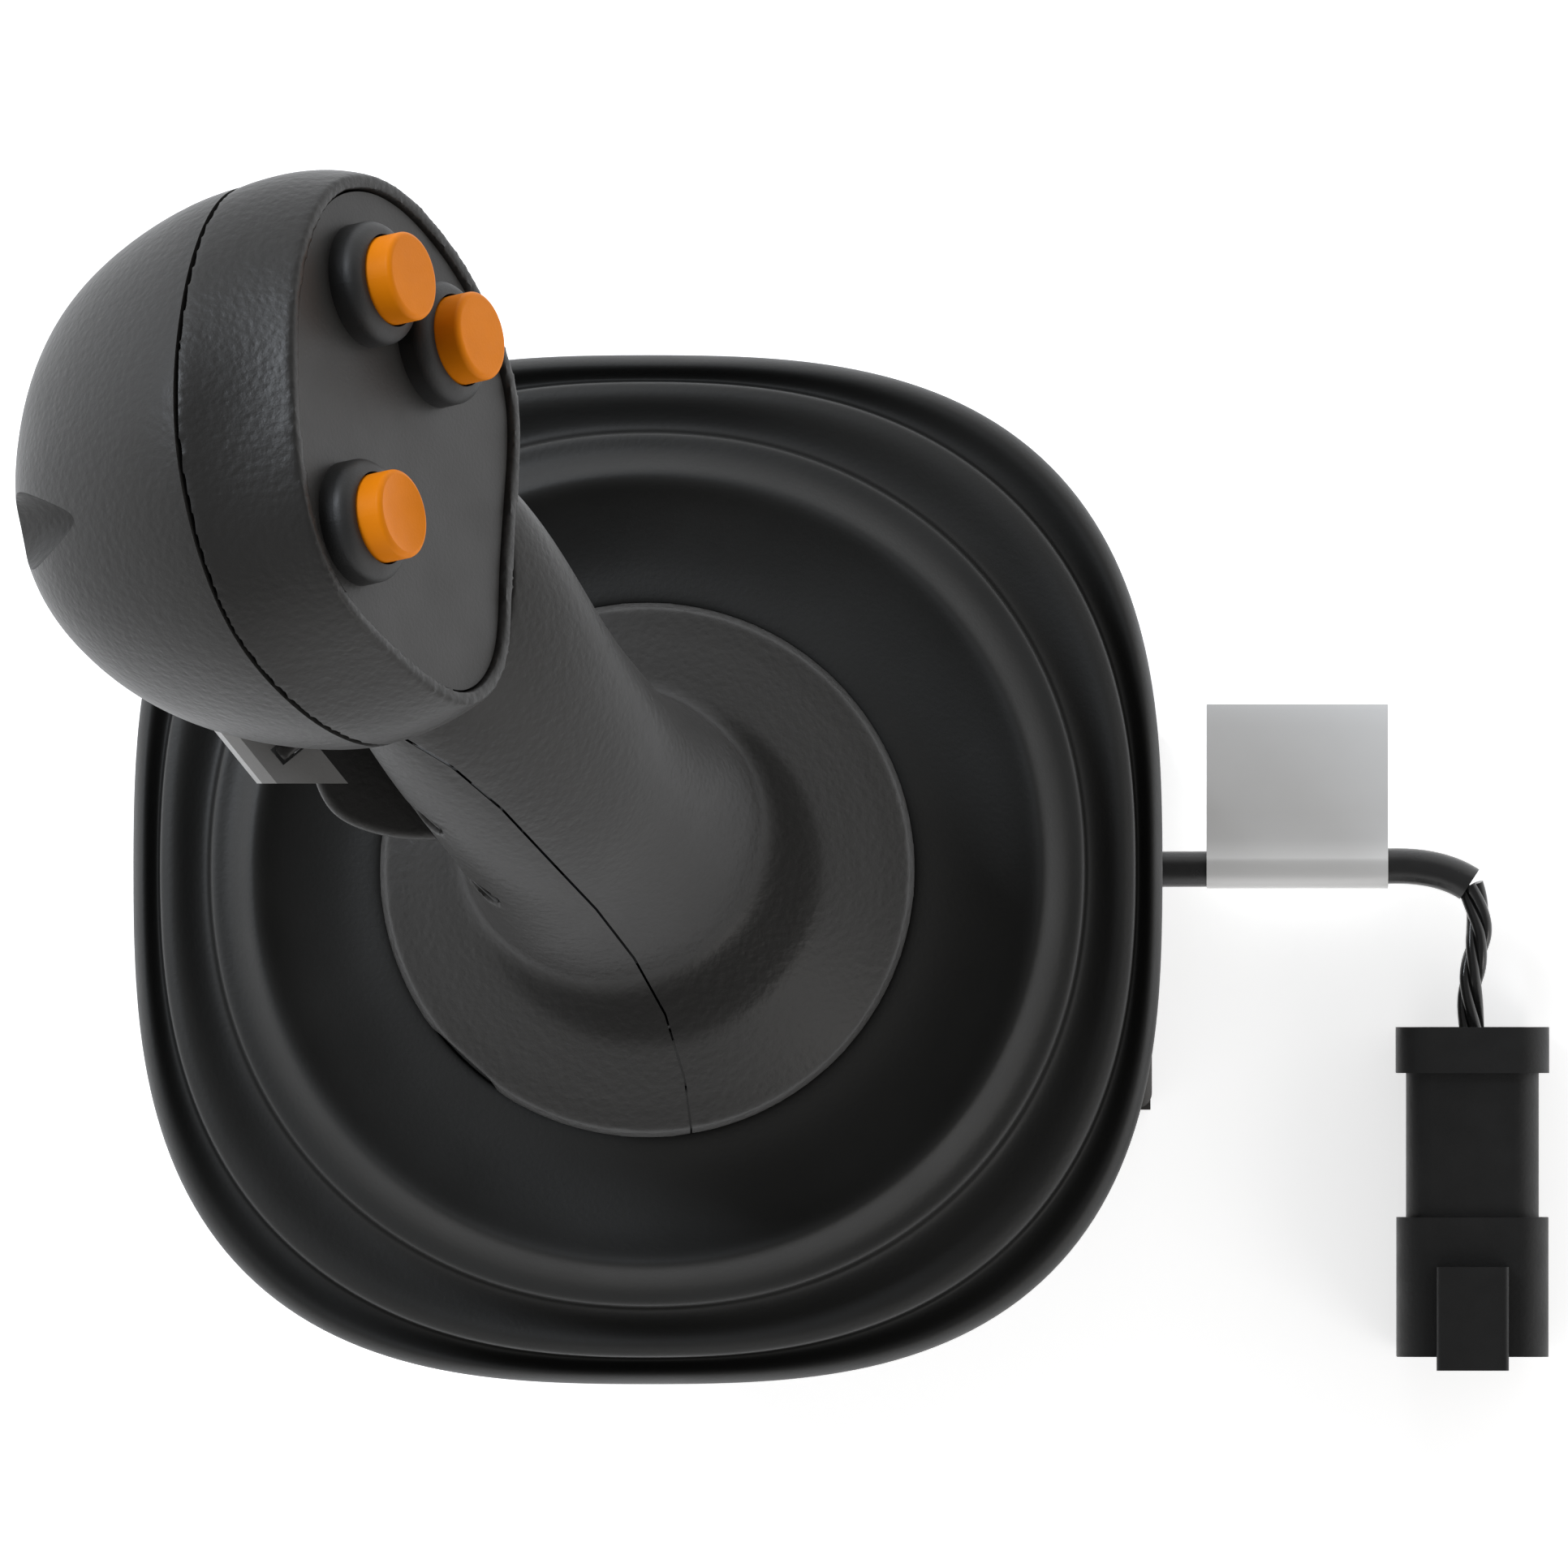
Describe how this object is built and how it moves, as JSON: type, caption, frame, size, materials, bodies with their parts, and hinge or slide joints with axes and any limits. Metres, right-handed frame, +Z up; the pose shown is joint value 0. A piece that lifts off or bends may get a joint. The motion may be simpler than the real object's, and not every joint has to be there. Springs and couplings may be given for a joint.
{
  "type": "joystick",
  "caption": "Panel-mount industrial joystick: contoured hand grip with thumb buttons and trigger on a sprung lever, square rubber gaiter, gimbal housing and short cable with sealed connector.",
  "frame": {"origin": "on the lever's neutral axis, at the flat underside of the base", "axes": "+Z up along the neutral axis out of the panel, +X towards the operator and the cable, +Y to the operator's right"},
  "size_m": [0.2127, 0.1681, 0.2316],
  "materials": {
    "housing": "fine textured black paint on die-cast metal",
    "flange_metal": "satin machined",
    "steel": "satin",
    "rubber": "matte",
    "gaiter_rubber": "matte moulded rubber",
    "boot_rubber": "matte moulded rubber",
    "seal_rubber": "matte silicone",
    "grip_plastic": "fine leather grain, soft sheen",
    "panel_plastic": "smooth satin",
    "trigger_plastic": "smooth satin",
    "box_plastic": "fine matte",
    "button_orange": "smooth satin",
    "connector_plastic": "matte",
    "cable_skin": "semi-gloss extruded jacket",
    "wire_skin": "gloss thin-wall wire",
    "label_film": "satin film",
    "wear_plastic": "low-friction nylon",
    "bronze": "sintered bronze",
    "circuit_board": "solder mask",
    "chip": "moulded package",
    "magnet": "nickel plated"
  },
  "bodies": {
    "base": {"base_housing": "housing", "bottom_cover": "housing", "bottom_seal": "rubber", "bottom_screws": "steel", "mounting_flange": "flange_metal", "flange_screws": "steel", "gate_plate": "wear_plastic", "gimbal_screws": "steel", "bearing_blocks": "flange_metal", "pitch_bushes": "bronze", "main_board": "circuit_board", "board_screws": "steel", "field_sensors": "chip", "side_box": "box_plastic", "side_box_cover": "box_plastic", "side_box_screws": "steel", "cable_gland": "rubber", "gaiter": "gaiter_rubber", "gaiter_retainer": "flange_metal", "cable_jacket": "cable_skin", "cable_wires": "wire_skin", "cable_label": "label_film", "connector_body": "connector_plastic", "connector_seal": "seal_rubber", "connector_lock": "connector_plastic", "connector_pins": "bronze"},
    "gimbal": {"gimbal_ring": "flange_metal", "pitch_pins": "steel", "roll_bushes": "bronze", "pitch_magnet": "magnet", "pitch_spring": "steel"},
    "lever": {"roll_spring": "steel", "lever_yoke": "flange_metal", "roll_pins": "steel", "lever_shaft": "steel", "yoke_set_screw": "steel", "magnet_holder": "wear_plastic", "lever_magnet": "magnet", "neck_sleeve": "wear_plastic", "neck_tie": "wear_plastic", "grip_clamp": "flange_metal", "palm_shell": "grip_plastic", "finger_shell": "grip_plastic", "grip_screws": "steel", "finger_rest": "grip_plastic", "head_cap": "grip_plastic", "button_panel": "panel_plastic", "panel_seal": "rubber", "button_boots": "boot_rubber", "head_board": "circuit_board", "button_switches": "chip", "inner_loom": "wire_skin", "trigger_pin": "steel", "trigger_switch": "chip"},
    "button_1": {"button_cap_1": "button_orange"},
    "button_2": {"button_cap_2": "button_orange"},
    "button_3": {"button_cap_3": "button_orange"},
    "trigger": {"trigger_blade": "trigger_plastic", "trigger_spring": "steel"}
  },
  "joints": [
    {"name": "pitch", "type": "hinge", "parent": "base", "child": "gimbal", "pos_m": [0, 0, 0.043], "axis": [1, 0, 0], "range_deg": [-15, 15], "stiffness_Nm_per_rad": 4, "deforming": ["gaiter", "pitch_spring"]},
    {"name": "roll", "type": "hinge", "parent": "gimbal", "child": "lever", "pos_m": [0, 0, 0.043], "axis": [0, 1, 0], "range_deg": [-15, 15], "stiffness_Nm_per_rad": 4, "deforming": ["roll_spring"]},
    {"name": "button_1_press", "type": "slide", "parent": "lever", "child": "button_1", "axis": [-0.8471, -0.1801, -0.5], "range_m": [0, 0.0015], "stiffness_N_per_m": 900},
    {"name": "button_2_press", "type": "slide", "parent": "lever", "child": "button_2", "axis": [-0.8471, -0.1801, -0.5], "range_m": [0, 0.0015], "stiffness_N_per_m": 900},
    {"name": "button_3_press", "type": "slide", "parent": "lever", "child": "button_3", "axis": [-0.8471, -0.1801, -0.5], "range_m": [0, 0.0015], "stiffness_N_per_m": 900},
    {"name": "trigger_pull", "type": "hinge", "parent": "lever", "child": "trigger", "pos_m": [-0.044, 0.01207, 0.169], "axis": [0.6298, -0.7768, 0], "range_deg": [0, 8], "stiffness_Nm_per_rad": 0.4, "deforming": ["trigger_spring"]}
  ]
}
